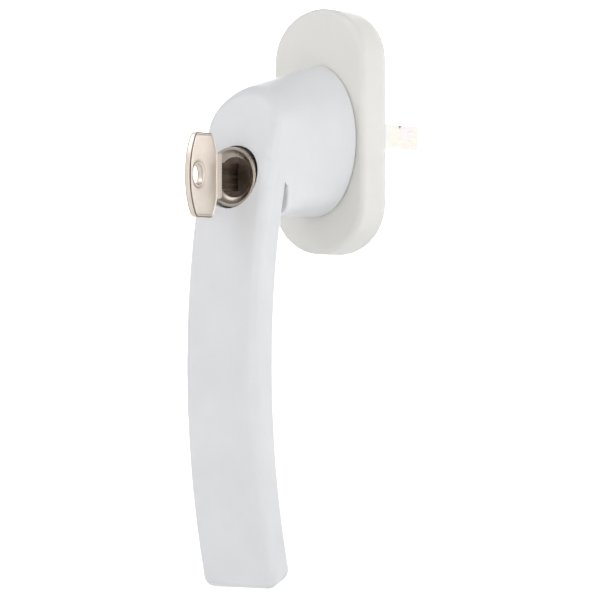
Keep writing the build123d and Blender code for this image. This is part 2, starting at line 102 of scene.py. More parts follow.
def cutPiece(piece, cutters, sharpFrom=32):
    # takes each cutter mesh out of the piece, then keeps the new edges crisp
    helpers = []
    for cutter in cutters:
        helper = bpy.data.objects.new("cutter", cutter)
        bpy.context.scene.collection.objects.link(helper)
        cut = piece.modifiers.new("cut", "BOOLEAN")
        cut.object = helper
        cut.solver = "MANIFOLD"
        helpers.append(helper)
    made = bpy.data.meshes.new_from_object(piece.evaluated_get(bpy.context.evaluated_depsgraph_get()))
    piece.modifiers.clear()
    piece.data = made
    made.set_sharp_from_angle(angle=radians(sharpFrom))
    for helper in helpers:
        bpy.data.objects.remove(helper)


class Shader:
    # a short way to write node trees: each call adds a node and gives its first output
    def __init__(self, name):
        self.material = bpy.data.materials.new(name)
        self.material.use_nodes = True
        self.tree = self.material.node_tree
        self.surface = self.tree.nodes["Principled BSDF"]
        self.place = self.tree.nodes.new("ShaderNodeTexCoord").outputs["Object"]

    def link(self, source, socket):
        self.tree.links.new(source, socket)

    def node(self, kind, **values):
        node = self.tree.nodes.new(kind)
        for key, value in values.items():
            if key in node.inputs:
                if hasattr(value, "node"):
                    self.link(value, node.inputs[key])
                else:
                    node.inputs[key].default_value = value
            else:
                setattr(node, key, value)
        return node

    def stretched(self, scale):
        return self.node("ShaderNodeMapping", Vector=self.place, Scale=scale).outputs[0]

    def noise(self, scale, detail=3.0, rough=0.5, place=None):
        return self.node("ShaderNodeTexNoise", Vector=place or self.place, Scale=scale, Detail=detail,
                         Roughness=rough).outputs["Fac"]

    def spread(self, value, low, high, fromLow=0.3, fromHigh=0.7):
        node = self.node("ShaderNodeMapRange", Value=value)
        node.inputs["From Min"].default_value = fromLow
        node.inputs["From Max"].default_value = fromHigh
        node.inputs["To Min"].default_value = low
        node.inputs["To Max"].default_value = high
        return node.outputs[0]

    def math(self, operation, first, second):
        node = self.node("ShaderNodeMath", operation=operation)
        for socket, value in zip(node.inputs, (first, second)):
            if hasattr(value, "node"):
                self.link(value, socket)
            else:
                socket.default_value = value
        return node.outputs[0]

    def ramp(self, value, *stops):
        node = self.node("ShaderNodeValToRGB", Fac=value)
        elements = node.color_ramp.elements
        while len(elements) < len(stops):
            elements.new(0.5)
        for element, (place, colour) in zip(elements, stops):
            element.position = place
            element.color = (*colour, 1)
        return node.outputs[0]

    def bump(self, height, distance, strength=1.0, normal=None):
        node = self.node("ShaderNodeBump", Height=height, Distance=distance, Strength=strength)
        if normal is not None:
            self.link(normal, node.inputs["Normal"])
        return node.outputs[0]

    def finish(self, colour=None, roughness=None, normal=None, **constants):
        for name, value in (("Base Color", colour), ("Roughness", roughness), ("Normal", normal)):
            if value is None:
                continue
            if hasattr(value, "node"):
                self.link(value, self.surface.inputs[name])
            else:
                self.surface.inputs[name].default_value = value
        for name, value in constants.items():
            self.surface.inputs[name.replace("_", " ")].default_value = value
        return self.material


def coatMaterial(name, look):
    # powder coat or moulded plastic: orange peel, faint clouding, and a duller finish where hands rub
    s = Shader(name)
    cloud = s.noise(look["cloudScale"], 4.0)
    tint = s.ramp(cloud, (0.3, look["dark"]), (0.7, look["light"]))
    peel = s.noise(look["peelScale"], 2.0, 0.6)
    fine = s.noise(look["fineScale"], 2.0)
    rub = s.spread(s.noise(look["rubScale"], 5.0, 0.65), *look["roughness"])
    bumps = s.bump(fine, look["fineDepth"], normal=s.bump(peel, look["peelDepth"]))
    return s.finish(tint, rub, bumps, IOR=look["ior"])


# near-black painted shade for the grooves and hollows of the key
paintedShadeColour = (0.035, 0.028, 0.024, 1)


def metalMaterial(name, look):
    # drawn or brushed metal: streaks along one axis, clouded tarnish, and painted shade darkening grooves and
    # hollows
    s = Shader(name)
    streak = s.noise(look["streakScale"], 4.0, 0.7, s.stretched(look["streakAlong"]))
    tarnish = s.noise(look["tarnishScale"], 5.0, 0.6)
    tint = s.ramp(tarnish, *look["tints"])
    # painted shade: grooves and hollows are mixed towards near black, varied a little by the tarnish noise
    paintedShade = s.node("ShaderNodeAttribute", attribute_name="hollowShade").outputs["Fac"]
    shadeAmount = s.math("MULTIPLY", paintedShade, s.spread(tarnish, 0.75, 1.0))
    mix = s.node("ShaderNodeMix", data_type="RGBA", Factor=shadeAmount)
    unshaded, shaded, mixed = mix.inputs[6], mix.inputs[7], mix.outputs[2]  # the node's colour sockets
    s.link(tint, unshaded)
    shaded.default_value = paintedShadeColour
    rough = s.math("ADD", s.spread(streak, *look["roughness"]), s.spread(tarnish, -0.04, 0.06))
    bumps = s.bump(streak, look["streakDepth"], normal=s.bump(tarnish, look["pitDepth"]))
    return s.finish(mixed, rough, bumps, Metallic=look["metallic"])


whiteCoat = coatMaterial("powderCoatWhite", {
    "dark": (0.745, 0.755, 0.775), "light": (0.79, 0.795, 0.81), "cloudScale": 60, "peelScale": 900,
    "peelDepth": 0.00002, "fineScale": 4200, "fineDepth": 0.000004, "rubScale": 90,
    "roughness": (0.33, 0.42), "ior": 1.5})
whiteCover = coatMaterial("mouldedCoverWhite", {
    "dark": (0.77, 0.765, 0.73), "light": (0.81, 0.80, 0.765), "cloudScale": 70, "peelScale": 1500,
    "peelDepth": 0.000012, "fineScale": 6000, "fineDepth": 0.000003, "rubScale": 120,
    "roughness": (0.36, 0.46), "ior": 1.46})
bushPlastic = coatMaterial("acetalBush", {
    "dark": (0.70, 0.69, 0.62), "light": (0.78, 0.77, 0.70), "cloudScale": 140, "peelScale": 2200,
    "peelDepth": 0.00001, "fineScale": 7000, "fineDepth": 0.000004, "rubScale": 200,
    "roughness": (0.3, 0.45), "ior": 1.48})
# black rubber for the gasket, which also stands in for painted shade in the gap round the lock's flange
blackGasketAndGapShade = coatMaterial("gasketRubberAndGapShade", {
    "dark": (0.012, 0.012, 0.013), "light": (0.03, 0.029, 0.028), "cloudScale": 200, "peelScale": 2500,
    "peelDepth": 0.00001, "fineScale": 8000, "fineDepth": 0.000006, "rubScale": 240,
    "roughness": (0.6, 0.8), "ior": 1.5})
castZinc = metalMaterial("rawZincCasting", {
    "streakScale": 700, "streakAlong": (1, 1, 1), "streakDepth": 0.000012, "tarnishScale": 110,
    "pitDepth": 0.00003, "roughness": (0.42, 0.6), "metallic": 0.9,
    "tints": ((0.3, (0.40, 0.405, 0.415)), (0.7, (0.56, 0.56, 0.565)))})
platedSpindle = metalMaterial("passivatedSpindle", {
    "streakScale": 900, "streakAlong": (1, 0.06, 1), "streakDepth": 0.000006, "tarnishScale": 75,
    "pitDepth": 0.000008, "roughness": (0.24, 0.36), "metallic": 1.0,
    "tints": ((0.3, (0.72, 0.74, 0.80)), (0.42, (0.80, 0.73, 0.74)), (0.52, (0.80, 0.78, 0.70)),
              (0.62, (0.70, 0.77, 0.78)), (0.72, (0.79, 0.74, 0.80)))})
springSteel = metalMaterial("blueSpringSteel", {
    "streakScale": 1200, "streakAlong": (0.1, 1, 1), "streakDepth": 0.000004, "tarnishScale": 160,
    "pitDepth": 0.000006, "roughness": (0.25, 0.4), "metallic": 1.0,
    "tints": ((0.3, (0.30, 0.31, 0.35)), (0.7, (0.42, 0.42, 0.45)))})
plainSteel = metalMaterial("turnedSteel", {
    "streakScale": 1100, "streakAlong": (1, 0.2, 1), "streakDepth": 0.000005, "tarnishScale": 130,
    "pitDepth": 0.000006, "roughness": (0.28, 0.42), "metallic": 1.0,
    "tints": ((0.3, (0.48, 0.47, 0.46)), (0.7, (0.60, 0.595, 0.58)))})
brass = metalMaterial("wornBrass", {
    "streakScale": 1000, "streakAlong": (1, 0.2, 1), "streakDepth": 0.000005, "tarnishScale": 150,
    "pitDepth": 0.000008, "roughness": (0.28, 0.44), "metallic": 1.0,
    "tints": ((0.3, (0.50, 0.36, 0.15)), (0.7, (0.68, 0.52, 0.26)))})
# painted shade: the plug is coloured near black for the shade deep inside the lock's face
plugShadeMetal = metalMaterial("plugInPaintedShade", {
    "streakScale": 900, "streakAlong": (1, 1, 1), "streakDepth": 0.000008, "tarnishScale": 170,
    "pitDepth": 0.00001, "roughness": (0.34, 0.5), "metallic": 1.0,
    "tints": ((0.3, (0.075, 0.055, 0.045)), (0.7, (0.17, 0.13, 0.105)))})
satinNickel = metalMaterial("satinNickel", {
    "streakScale": 1300, "streakAlong": (1, 1, 1), "streakDepth": 0.000005, "tarnishScale": 150,
    "pitDepth": 0.000006, "roughness": (0.26, 0.38), "metallic": 1.0,
    "tints": ((0.3, (0.56, 0.50, 0.44)), (0.7, (0.66, 0.60, 0.53)))})
# tints darker than the nickel: painted shade for the dim reflections in the lock's dish
turnedNickel = metalMaterial("turnedNickel", {
    "streakScale": 1300, "streakAlong": (1, 1, 1), "streakDepth": 0.000005, "tarnishScale": 150,
    "pitDepth": 0.0000015, "roughness": (0.24, 0.34), "metallic": 1.0,
    "tints": ((0.3, (0.36, 0.32, 0.28)), (0.7, (0.50, 0.45, 0.39)))})
darkSteel = metalMaterial("milledKeySteel", {
    "streakScale": 1000, "streakAlong": (1, 0.15, 1), "streakDepth": 0.000008, "tarnishScale": 170,
    "pitDepth": 0.00001, "roughness": (0.3, 0.45), "metallic": 1.0,
    "tints": ((0.3, (0.16, 0.13, 0.11)), (0.7, (0.30, 0.25, 0.21)))})
keyNickel = metalMaterial("keyNickel", {
    "streakScale": 800, "streakAlong": (1, 1, 0.08), "streakDepth": 0.000006, "tarnishScale": 120,
    "pitDepth": 0.000012, "roughness": (0.28, 0.42), "metallic": 1.0,
    "tints": ((0.3, (0.82, 0.72, 0.63)), (0.7, (0.94, 0.85, 0.76)))})
print("materials made")

finishes = {
    whiteCover: ("rosette_cap",),
    whiteCoat: ("grip",),
    castZinc: ("base_plate", "detent_cam", "bolt_guide"),
    bushPlastic: ("bearing_bush", "thrust_washer"),
    springSteel: ("detent_spring_upper", "detent_spring_lower", "retaining_ring", "plug_clip",
                  "wafer_springs"),
    plainSteel: ("notch_ring", "spindle_pin", "guide_screws", "housing_screw", "drive_pin", "lock_bolt"),
    platedSpindle: ("spindle",),
    satinNickel: ("lock_housing",),
    blackGasketAndGapShade: ("lock_gasket",),
    plugShadeMetal: ("lock_plug",),
    brass: tuple(f"wafer_{i}" for i in range(1, 6)),
    keyNickel: ("key",),
}
for material, names in finishes.items():
    for name in names:
        slots = cadNodes[name].data.materials
        if len(slots):
            slots[0] = material
        else:
            slots.append(material)

capLook = {"wall": 1.3, "edge": 1.8, "bore": 8.55, "crown": 0.12, "endRise": 14.5, "boreRim": 0.25,
           "halfSteps": 64, "sideSteps": 14}


def ovalRing(halfWidth, endRise, straight, look):
    # two half ellipses joined by straight sides, walked anticlockwise as seen from the room
    turn = np.linspace(0, np.pi, look["halfSteps"])
    side = np.linspace(straight / 2, -straight / 2, look["sideSteps"])[1:-1]
    top = np.stack([halfWidth * np.cos(turn), straight / 2 + endRise * np.sin(turn)], -1)
    left = np.stack([np.full_like(side, -halfWidth), side], -1)
    return np.vstack([top, left, -top, -left])


def makeRosetteCap(look):
    # closed shell: each row is the oval moved inwards by inset at one height
    # the front blends from oval to bore
    low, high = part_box("rosette_cap")
    halfWidth, halfHeight, depth = high.x / mm, high.z / mm, -low.y / mm
    edge, crown, endRise = look["edge"], look["crown"], look["endRise"]
    straight = 2 * (halfHeight - endRise)
    bend = np.linspace(0, np.pi / 2, 14)
    wallRise = np.linspace(0, depth - edge, 6)
    rows = [(0.0, f, 0.0) for f in wallRise[:-1]]
    rows += [(edge * (1 - np.cos(a)), depth - crown - edge * (1 - np.sin(a)), 0.0) for a in bend]
    rows += [(edge, depth - crown * (1 - np.sin(w * np.pi / 2)), w) for w in np.linspace(0, 1, 26)[1:]]
    floorRise = depth - look["wall"]
    rows += [(edge, f, 1.0) for f in (depth - look["boreRim"], floorRise)]
    rows += [(look["wall"], floorRise, w) for w in np.linspace(1, 0, 8)[1:]]
    rows += [(look["wall"], f, 0.0) for f in (floorRise / 2, 0.0)]
    inset, forward, blend = (np.array(column)[:, None] for column in zip(*rows))
    outer = ovalRing(halfWidth, endRise, straight, look)
    angle = np.arctan2(outer[:, 1], outer[:, 0])
    ends, sides = look["halfSteps"], look["sideSteps"] - 2
    heading = np.concatenate([np.linspace(0, np.pi, ends), np.full(sides, np.pi),
                              np.linspace(np.pi, 2 * np.pi, ends), np.zeros(sides)])
    normal = np.stack([np.cos(heading), np.sin(heading)], -1)
    x = (outer[:, 0] - inset * normal[:, 0]) * (1 - blend) + look["bore"] * np.cos(angle) * blend
    z = (outer[:, 1] - inset * normal[:, 1]) * (1 - blend) + look["bore"] * np.sin(angle) * blend
    points = np.stack([x, -forward + 0 * x, z], -1) * mm
    return gridPiece("rosette_cover", points, whiteCover, "rosette", ["rosette_cap"],
                     (True, True))


makeRosetteCap(capLook)
print("rosette cover made")


def turned(profile, centre, steps=128):
    # a profile of (radius, forward) pairs carried round the axis that runs along Y through centre
    turn = np.linspace(0, 2 * np.pi, steps, endpoint=False)
    radius, forward = (np.array(column)[:, None] for column in zip(*profile))
    x = centre[0] + radius * np.cos(turn)
    z = centre[1] + radius * np.sin(turn)
    return np.stack([x, -forward + 0 * x, z], -1) * mm


def arcPoints(centre, radius, start, end, steps=7):
    # points on a circle in the radius-forward plane, angles in degrees from the outward direction
    a = np.radians(np.linspace(start, end, steps))
    return list(zip(centre[0] + radius * np.cos(a), centre[1] + radius * np.sin(a)))


lockAxis = (0.0, -14.6)
housingLook = {"bore": 5.56, "body": 7.5, "rim": 8.3, "rimWidth": 0.75, "front": 50.9, "dish": 1.6,
               "flange": 2.0, "back": 19.0, "step": 21.0, "tail": 3.05, "lip": 0.22}


def makeHousing(look):
    # closed loop: up the bore, out over the hollow dish and the rounded rim, down the body, back to the bore
    front, lip = look["front"], look["lip"]
    inner = look["rim"] - look["rimWidth"]
    w = np.linspace(0, 1, 16)
    dish = list(zip(look["bore"] + (inner - look["bore"]) * w, front - look["dish"] * (1 - w ** 1.7)))
    profile = [(look["bore"], look["step"]), (look["bore"], front - look["dish"] - 0.4)] + dish
    profile += [(inner + 0.06, front - 0.02)]
    profile += arcPoints((look["rim"] - lip, front - lip), lip, 90, 0)
    profile += [(look["rim"], front - look["flange"]), (look["body"], front - look["flange"])]
    profile += [(look["body"], f) for f in np.linspace(front - look["flange"] - 1, look["back"], 5)]
    profile += [(look["tail"], look["back"]), (look["tail"], look["step"])]
    points = turned(profile[::-1], lockAxis)
    return gridPiece("lock_barrel", points, turnedNickel, "grip", ["lock_housing"],
                     (True, True))


makeHousing(housingLook)
print("lock barrel made")


bowLook = {"front": 70.4, "corner": 67.4, "shoulder": 60.1, "base": 58.0, "halfHeight": 11.6, "halfBase": 6.5,
           "hole": 66.7, "holeWidth": 4.3, "holeHeight": 5.8, "skin": 1.14, "gap": 0.96, "strip": 0.72,
           "faceDrop": 0.13, "faceCrown": 0.07, "sharpness": 30, "steps": 420, "serration": 0.05, "teeth": 92,
           "toothBand": (0.3, 0.5)}


def bowReach(angle, look):
    # distance from the hole's middle to the outline: a soft minimum over its straight edges and its front arc
    forward, up = np.cos(angle), np.sin(angle)
    sag = look["front"] - look["corner"]
    radius = (look["halfHeight"] ** 2 + sag ** 2) / (2 * sag)
    offset = look["hole"] - (look["front"] - radius)
    arc = -offset * forward + np.sqrt(radius ** 2 - (offset * up) ** 2)
    slope = np.array([look["shoulder"] - look["base"], look["halfHeight"] - look["halfBase"]])
    side = np.array([-slope[1], slope[0]]) / np.hypot(*slope)
    gap = (look["base"] - look["hole"]) * side[0] + look["halfBase"] * side[1]
    tiny = 1e-6
    reaches = [arc, look["halfHeight"] / np.maximum(abs(up), tiny),
               (look["hole"] - look["base"]) / np.maximum(-forward, tiny),
               gap / np.maximum(side[0] * forward + side[1] * abs(up), tiny)]
    power = look["sharpness"]
    return sum(reach ** -power for reach in reaches) ** (-1 / power)


def makeKeyBow(look):
    # a closed plate with a hole: rows run over one skin, round the edge, over the other skin and through
    angle = np.linspace(0, 2 * np.pi, look["steps"], endpoint=False)
    outer = bowReach(angle, look)
    hole = 1 / np.hypot(np.cos(angle) / (look["holeWidth"] / 2), np.sin(angle) / (look["holeHeight"] / 2))
    skin, gap, strip = look["skin"], look["gap"], look["strip"]
    # each row: distance from the hole or from the outline, half thickness there, painted shade in the grooves
    rim = [(0.0, skin - 0.25, 0.3), (0.05, skin - 0.05, 0), (0.16, skin + 0.02, 0), (0.34, skin + 0.05, 0),
           (0.5, skin, 0), (0.57, skin - 0.12, 0.5), (0.65, skin - 0.2, 1), (0.74, skin - 0.16, 0.3)]
    border = [(1.0, skin - 0.1, 0), (0.86, skin - 0.16, 0.5), (0.76, skin - 0.12, 0.1), (0.68, skin, 0),
              (0.56, skin + 0.02, 0), (0.44, skin, 0), (0.37, skin - 0.06, 0), (0.35, gap, 0.8),
              (0.9, gap - 0.02, 1), (0.9, strip + 0.02, 1), (0.12, strip, 0.8),
              (0.03, strip - 0.04, 0), (0.0, strip - 0.12, 0), (0.0, strip / 2, 0)]
    rows = [(hole + d, x, paintedShade) for d, x, paintedShade in rim]
    for w in np.linspace(0, 1, 9)[1:-1]:
        reach = (hole + rim[-1][0]) * (1 - w) + (outer - border[0][0]) * w
        rows.append((reach, skin - look["faceDrop"] + look["faceCrown"] * np.sin(np.pi * w), 0))
    tooth = look["serration"] * np.sin(look["teeth"] * angle)
    bandStart, bandEnd = look["toothBand"]
    rows += [(outer - inset + (tooth if bandStart < inset < bandEnd else 0), x, paintedShade)
             for inset, x, paintedShade in border]
    rows += [(outer, 0.0, 0)] + [(reach, -x, paintedShade) for reach, x, paintedShade in rows[::-1]] + [(hole, 0.0, 0)]
    reach = np.array([row[0] for row in rows])
    side = np.array([row[1] for row in rows])[:, None]
    forward = look["hole"] + reach * np.cos(angle)
    up = reach * np.sin(angle) + lockAxis[1]
    points = np.stack([side + 0 * up, -forward, up], -1) * mm
    # painted shade in the grooves round the hole and along the step to the strip
    paintedShade = np.array([row[2] for row in rows])[:, None] + 0 * up
    return gridPiece("key_bow", points, keyNickel, "key", ["key"], (True, True), hollowShade=paintedShade)


bladeLook = {"tip": 26.5, "end": 58.4, "halfHeight": 3.7, "halfThickness": 1.0, "taper": 1.6, "corner": 9,
             "tipDrop": 0.4, "tipThin": 0.25,
             "cuts": (0.7, 1.15, 1.6, 2.05, 2.5), "firstCut": 29.0, "pitch": 4.0, "ramp": 0.35,
             "grooves": ((1.3, 0.62, 0.42), (-1.2, 0.55, 0.38), (-2.7, 0.3, 0.2)),
             "around": 144, "along": 260}


def squareRing(steps, corner):
    # superellipse: a rounded square of half size 1
    turn = np.linspace(0, 2 * np.pi, steps, endpoint=False)
    c, s = np.cos(turn), np.sin(turn)
    size = (abs(c) ** corner + abs(s) ** corner) ** (-1 / corner)
    return c * size, s * size


def makeKeyBlade(look):
    # a rounded rectangle carried from tip to shoulder: its top follows the cuts, its sides the milled grooves
    forward = np.linspace(look["tip"], look["end"], look["along"])
    stepAt = look["firstCut"] + look["pitch"] * (np.arange(5) + 0.5)
    levels = np.array(look["cuts"] + (look["halfHeight"],))
    top = levels[0] + sum((levels[i + 1] - levels[i]) * np.clip((forward - stepAt[i]) / look["ramp"], 0, 1)
                          for i in range(5))
    tip = np.clip(look["taper"] - (forward - look["tip"]), 0, None)
    bottom = -look["halfHeight"] + tip
    top = top - look["tipDrop"] * tip
    across, up = squareRing(look["around"], look["corner"])
    z = (top + bottom)[:, None] / 2 + (top - bottom)[:, None] / 2 * up
    x = look["halfThickness"] * across + 0 * z
    for level, width, depth in look["grooves"]:
        x = x * (1 - depth * np.exp(-((z - level) / width) ** 4))
    x = x * (1 - look["tipThin"] * (tip / look["taper"])[:, None])
    y = -forward[:, None] + 0 * z
    points = np.stack([x, y, z + lockAxis[1]], -1) * mm
    return gridPiece("key_blade", points, darkSteel, "key", poles=(True, True))


collarLook = {"start": 56.4, "end": 58.9, "halfHeight": 6.2, "halfThickness": 1.4, "corner": 5, "around": 160,
              "along": 220, "knurl": 0.13, "rows": 5, "turns": 17,
              "endRound": 0.06, "endSlim": 0.2, "endPinch": 0.3}


def makeKeyCollar(look):
    # a rounded bar along Z whose sides carry a diamond knurl: the product of two crossing cosines
    across, forward = squareRing(look["around"], look["corner"])
    up = np.linspace(-1, 1, look["along"])[:, None]
    ends = np.clip((1 - abs(up)) / look["endRound"], 0, 1) ** 0.5
    middle = (look["start"] + look["end"]) / 2
    reach = (look["end"] - look["start"]) / 2
    knurl = look["knurl"] * np.cos(np.pi * look["rows"] * forward) * np.cos(np.pi * look["turns"] * up)
    x = across * (look["halfThickness"] - look["knurl"] + knurl) * (1 - look["endSlim"] * (1 - ends))
    y = -(middle - forward * reach * (1 - look["endPinch"] * (1 - ends)))
    z = up * look["halfHeight"] + 0 * x + lockAxis[1]
    points = np.stack([x, y + 0 * x, z], -1) * mm
    # painted shade in the knurl's valleys
    paintedShade = np.clip(-knurl / look["knurl"], 0, 1) ** 0.7
    return gridPiece("key_shoulder", points, keyNickel, "key", poles=(True, True), hollowShade=paintedShade)


# neck and lever are one casting
gripLook = {
    "foot": 10.8, "footHalf": 13.7, "footTop": 18.7, "footBottom": -24.3, "footEdge": 0.5,
    "front": 42.5, "half": 12.5, "top": 10.6, "bottom": -25.0, "shoulder": -1.2, "squareness": 8.0,
    "bow": 224.0, "bowLevel": -66.0, "bowFront": 56.5, "thickness": 9.2, "frontEdge": 2.8, "rearEdge": 2.0,
    "endFront": -128.4, "endRear": -124.6, "endCorner": 3.4,
    "apex": (41.3, -17.1), "throat": (40.2, -25.0), "throatEdge": 0.7,
    "cavity": 11.8, "cavityDepth": 4.5, "around": 224, "cluster": 0.45, "rayReach": 45.0, "halvings": 42,
    "footRows": 9, "neckSteps": 52, "throatSteps": 84, "crossSteps": 44, "throatSlope": 3,
    "splitForward": 40.2,
}


def roundMax(a, b, radius):
    # distance to the corner where two walls meet, rounded off to this radius
    both = np.hypot(np.maximum(a + radius, 0), np.maximum(b + radius, 0))
    return np.minimum(np.maximum(a, b), -radius) + both


def ovalReach(x, z, half, top, bottom, power):
    # how far along a point's ray the outline lies: half an ellipse above, half a superellipse below
    size = np.hypot(x, z) + 1e-9
    upper = np.hypot(x / half, z / top)
    lower = (abs(x / half) ** power + abs(z / bottom) ** power) ** (1 / power)
    return size / np.where(z >= 0, upper, lower)


def gripDistance(x, f, z, look, withNeck):
    # negative inside the casting; lever and neck are each an outline cut by rounded walls
    centre = look["bowFront"] - look["bow"]
    out = np.hypot(f - centre, z - look["bowLevel"])
    front = out - look["bow"]
    rear = look["bow"] - look["thickness"] - out
    above = z - look["shoulder"]
    arch = np.hypot(x, above) - ovalReach(x, above, look["half"], look["top"] - look["shoulder"], 1.0, 2.0)
    outline = np.where(above >= 0, arch, abs(x) - look["half"])
    endRear = np.array(bowAt(look, look["endRear"], True))
    endFront = np.array(bowAt(look, look["endFront"], False))
    along = (endFront - endRear) / np.hypot(*(endFront - endRear))
    end = (f - endRear[0]) * along[1] - (z - endRear[1]) * along[0]
    outline = roundMax(outline, end, look["endCorner"])
    lever = roundMax(roundMax(outline, front, look["frontEdge"]), rear, look["rearEdge"])
    if not withNeck:
        return lever
    t = np.clip((f - look["foot"]) / (look["front"] - look["foot"]), 0, 1)
    footLevel = (look["footTop"] + look["footBottom"]) / 2
    up = z - (footLevel + (look["shoulder"] - footLevel) * t)
    rise = (look["footTop"] - look["footBottom"]) / 2
    footReach = ovalReach(x, up, look["footHalf"], rise, rise, 2.0)
    frontReach = ovalReach(x, up, look["half"], look["top"] - look["shoulder"],
                           look["shoulder"] - look["bottom"], look["squareness"])
    neck = np.hypot(x, up) - (footReach * (1 - t) + frontReach * t)
    neck = roundMax(neck, look["foot"] - f, look["footEdge"])
    neck = roundMax(neck, front, look["frontEdge"])
    (apexF, apexZ), (throatF, throatZ) = look["apex"], look["throat"]
    wall = f - np.where(z < apexZ, throatF + (apexF - throatF) * (z - throatZ) / (apexZ - throatZ),
                        apexF + look["throatSlope"] * (z - apexZ))
    neck = roundMax(neck, wall, look["throatEdge"])
    return np.minimum(neck, lever)


def bowAt(look, level, onRear):
    # point (forward, up) of the lever's front or rear arc at this level
    radius = look["bow"] - (look["thickness"] if onRear else 0)
    return look["bowFront"] - look["bow"] + np.sqrt(radius ** 2 - (level - look["bowLevel"]) ** 2), level


def path(points, steps):
    # evenly spaced points along a given line, its first point left out
    points = np.array(points, float)
    length = np.concatenate([[0], np.cumsum(np.hypot(*np.diff(points, axis=0).T))])
    at = np.linspace(0, length[-1], steps + 1)[1:]
    return np.stack([np.interp(at, length, points[:, 0]), np.interp(at, length, points[:, 1])], -1)


def gripSections(look):
    # section planes contain the X direction; each is set by its inner and outer point (forward, up)
    # they stand upright along the neck, fan out about the throat's apex, and lie across the lever
    foot, footTop, footBottom = look["foot"], look["footTop"], look["footBottom"]
    split, rows = look["splitForward"], look["footRows"]
    neckSteps, throatSteps, crossSteps = look["neckSteps"], look["throatSteps"], look["crossSteps"]
    neckTop = (split, footTop + (look["top"] - footTop) * (split - foot) / (look["front"] - foot))
    edge = foot + look["footEdge"] * (1 - np.cos(np.linspace(0.2, np.pi / 2, rows)))
    inner = [np.stack([edge, np.full(rows, footBottom)], -1)]
    outer = [np.stack([edge, np.full(rows, footTop)], -1)]
    inner += [path([(foot + 0.5, footBottom), (38.8, -24.96)], neckSteps),
              path([(38.8, -24.96), (39.9, -24.8), (40.3, -24.2), (40.7, -21.2), look["apex"]], throatSteps),
              path([look["apex"], (41.8, -18.0), (42.4, -20.0), bowAt(look, -25, True)], crossSteps)]
    outer += [path([(foot + 0.5, footTop), neckTop], neckSteps),
              path([neckTop, (42.0, 10.4), (43.2, 9.2), (44.0, 7.0), (46.3, 0.0), (49.0, -9.4)], throatSteps),
              path([(49.0, -9.4), (51.0, -16.5), bowAt(look, -24, False)], crossSteps)]
    w = np.linspace(0, 1, 105)[1:]
    roundOff = 1 + look["endCorner"] * 1.02 / (look["endRear"] + 25)
    body = w * roundOff
    tip = roundOff + (0.9998 - roundOff) * np.sin(np.linspace(0, np.pi / 2, 22)[1:])
    for share in (body, tip):
        inner.append(np.stack(bowAt(look, -25 + (look["endRear"] + 25) * share, True), -1))
        outer.append(np.stack(bowAt(look, -24 + (look["endFront"] + 24) * share, False), -1))
    return np.vstack(inner), np.vstack(outer), rows + neckSteps + throatSteps


def makeGrip(look):
    # on each section plane, rays from the middle meet the casting's skin
    # halving steps find where the distance is zero
    inner, outer, neckRows = gripSections(look)
    middle = (inner + outer) / 2
    reach = np.hypot(*(outer - inner).T)[:, None] / 2
    up = (outer - inner) / (2 * reach)
    turn = np.linspace(0, 2 * np.pi, look["around"], endpoint=False)
    turn = turn + look["cluster"] * np.sin(4 * turn) / 4
    across, along = look["half"] * np.cos(turn), reach * np.sin(turn)
    size = np.hypot(across, along)
    across, along = across / size, along / size
    near, far = np.zeros_like(along), np.full_like(along, look["rayReach"])
    hasNeck = np.arange(len(inner)) < neckRows
    for _ in range(look["halvings"]):
        r = (near + far) / 2
        x = across * r
        f = middle[:, :1] + up[:, :1] * along * r
        z = middle[:, 1:] + up[:, 1:] * along * r
        d = np.vstack([gripDistance(x[hasNeck], f[hasNeck], z[hasNeck], look, True),
                       gripDistance(x[~hasNeck], f[~hasNeck], z[~hasNeck], look, False)])
        near, far = np.where(d < 0, r, near), np.where(d < 0, far, r)
    skin = np.stack([x, -f, z], -1)
    ceiling = look["foot"] + look["cavityDepth"]
    cavity = look["cavity"]
    hollow = [(0.5 * cavity, ceiling), (cavity, ceiling), (cavity, look["foot"] + 0.01)]
    foot = np.stack([np.stack([radius * across[0], np.full_like(across[0], -f), radius * along[0]], -1)
                     for radius, f in hollow])
    points = np.vstack([foot, skin]) * mm
    return gridPiece("grip_casting", points, whiteCoat, "grip", ["grip"], poles=(True, True))


hollowLook = {"boreRadius": 8.7, "boreFloor": 48.3, "barrelRadius": 7.55, "barrelFloor": 17.7,
              "tailRadius": 3.15,
              "plate": (5.95, -12.5, -22.1, 12.1), "channel": (4.3, -6.2, -19.7, 14.8),
              "grub": (1.5, 28.0), "grubStart": -27.0, "start": 9.0, "mouth": 62.0, "steps": 48}


def prism(halfWidth, top, bottom, start, end, steps, corner=12):
    # a rounded rectangle in the X-Z plane carried forward
    across, up = squareRing(steps, corner)
    forward = np.array([start, end])[:, None]
    x = halfWidth * across + 0 * forward
    z = (top + bottom) / 2 + (top - bottom) / 2 * up + 0 * forward
    return gridMesh("prism", np.stack([x, -forward + 0 * x, z], -1) * mm, poles=(True, True))


